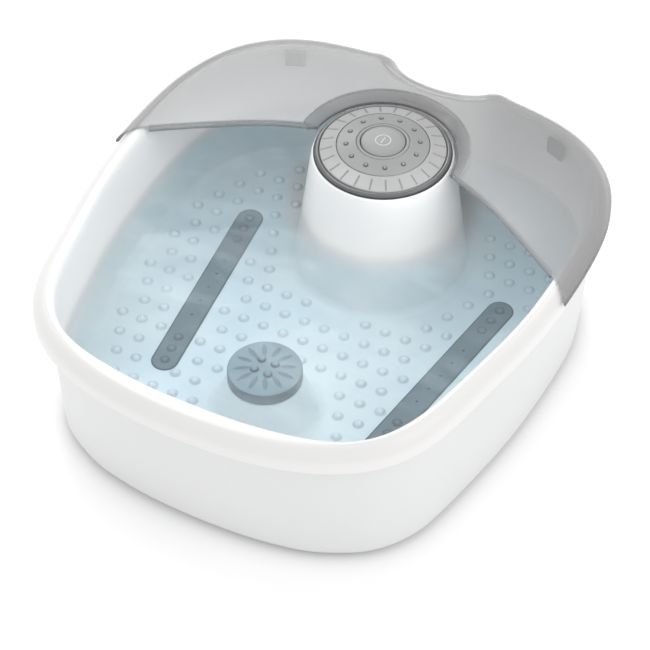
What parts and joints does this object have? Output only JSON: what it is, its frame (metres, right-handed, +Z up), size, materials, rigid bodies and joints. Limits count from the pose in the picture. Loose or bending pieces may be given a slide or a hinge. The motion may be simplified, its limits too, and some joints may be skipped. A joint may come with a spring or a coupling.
{
  "type": "pedicure foot bath",
  "caption": "Electric foot bath: a white basin with a nubbed floor, air strips and a massage disc, a grey splash guard, and a tower with a selector dial and push button.",
  "frame": {"origin": "centre of the bounding box in plan, on the plane under the rubber feet", "axes": "+X to the right of the user, +Y to the rear where the control tower stands, +Z up"},
  "size_m": [0.3858, 0.429, 0.1436],
  "materials": {
    "basin_plastic": "satin gloss, white moulded",
    "casing_plastic": "satin gloss, white moulded",
    "foot_rubber": "matte",
    "screw_steel": "zinc plated",
    "strip_plastic": "satin, blue-grey",
    "seal_rubber": "matte",
    "dial_plastic": "fine satin, grey",
    "trim_plastic": "satin, grey",
    "bezel_plastic": "glossy, smoked",
    "bushing_plastic": "natural acetal",
    "contact_brass": "plain",
    "button_plastic": "satin, grey",
    "spring_steel": "bright drawn wire",
    "inner_plastic": "plain, natural",
    "board_laminate": "green laminate",
    "switch_plastic": "black",
    "component_plastic": "black",
    "transformer_lacquer": "varnished laminations",
    "terminal_plastic": "natural",
    "pump_plastic": "black moulded",
    "motor_steel": "plated can",
    "fan_plastic": "white moulded",
    "shaft_steel": "ground",
    "hose_rubber": "silicone, grey",
    "clip_steel": "spring band",
    "bracket_steel": "galvanised sheet",
    "weight_brass": "turned",
    "heater_aluminium": "plain foil face",
    "thermostat_metal": "plain",
    "fuse_ceramic": "white",
    "disc_plastic": "satin, blue-grey",
    "guard_plastic": "clear smoke-grey, glossy",
    "gland_rubber": "matte"
  },
  "bodies": {
    "tub": {"basin": "basin_plastic", "outer_casing": "casing_plastic", "rubber_feet": "foot_rubber", "casing_screws": "screw_steel", "massage_strip_right": "strip_plastic", "massage_strip_left": "strip_plastic", "strip_seals": "seal_rubber", "dial_bezel": "bezel_plastic", "dial_bushing": "bushing_plastic", "dial_seal": "seal_rubber", "button_spring": "spring_steel", "switch_carrier": "inner_plastic", "carrier_screws": "screw_steel", "selector_board": "board_laminate", "push_switch": "switch_plastic", "main_board": "board_laminate", "board_components": "component_plastic", "transformer": "transformer_lacquer", "terminal_block": "terminal_plastic", "pump_housing": "pump_plastic", "pump_cover": "pump_plastic", "pump_motor": "motor_steel", "air_manifold": "pump_plastic", "air_hose_right": "hose_rubber", "air_hose_left": "hose_rubber", "hose_clips": "clip_steel", "vibration_motor": "motor_steel", "motor_bracket": "bracket_steel", "bracket_screws": "screw_steel", "heater_plate": "heater_aluminium", "thermostat": "thermostat_metal", "thermal_fuse": "fuse_ceramic", "cord_gland": "gland_rubber"},
    "guard": {"splash_guard": "guard_plastic"},
    "disc": {"massage_disc": "disc_plastic"},
    "dial": {"selector_dial": "dial_plastic", "dial_trim_disc": "trim_plastic", "contact_disc": "contact_brass"},
    "button": {"power_button": "button_plastic"},
    "fan": {"impeller": "fan_plastic", "pump_shaft": "shaft_steel"},
    "weight": {"eccentric_weight": "weight_brass", "vibration_shaft": "shaft_steel"}
  },
  "joints": [
    {"name": "guard_lift", "type": "slide", "parent": "tub", "child": "guard", "axis": [0, 0, 1], "range_m": [0, 0.06]},
    {"name": "disc_lift", "type": "slide", "parent": "tub", "child": "disc", "axis": [0, 0, 1], "range_m": [0, 0.1]},
    {"name": "dial_turn", "type": "hinge", "parent": "tub", "child": "dial", "pos_m": [0, 0.1072, 0.131], "axis": [0, 0, 1], "range_deg": [0, 270]},
    {"name": "button_press", "type": "slide", "parent": "tub", "child": "button", "axis": [0, 0, -1], "range_m": [0, 0.002], "stiffness_N_per_m": 900, "springref_m": -0.001, "deforming": ["button_spring"]},
    {"name": "fan_spin", "type": "hinge", "parent": "tub", "child": "fan", "pos_m": [0, 0.1072, 0.015], "axis": [0, 0, 1], "continuous": true},
    {"name": "weight_spin", "type": "hinge", "parent": "tub", "child": "weight", "pos_m": [0.014, -0.0832, 0.032], "axis": [1, 0, 0], "continuous": true}
  ]
}
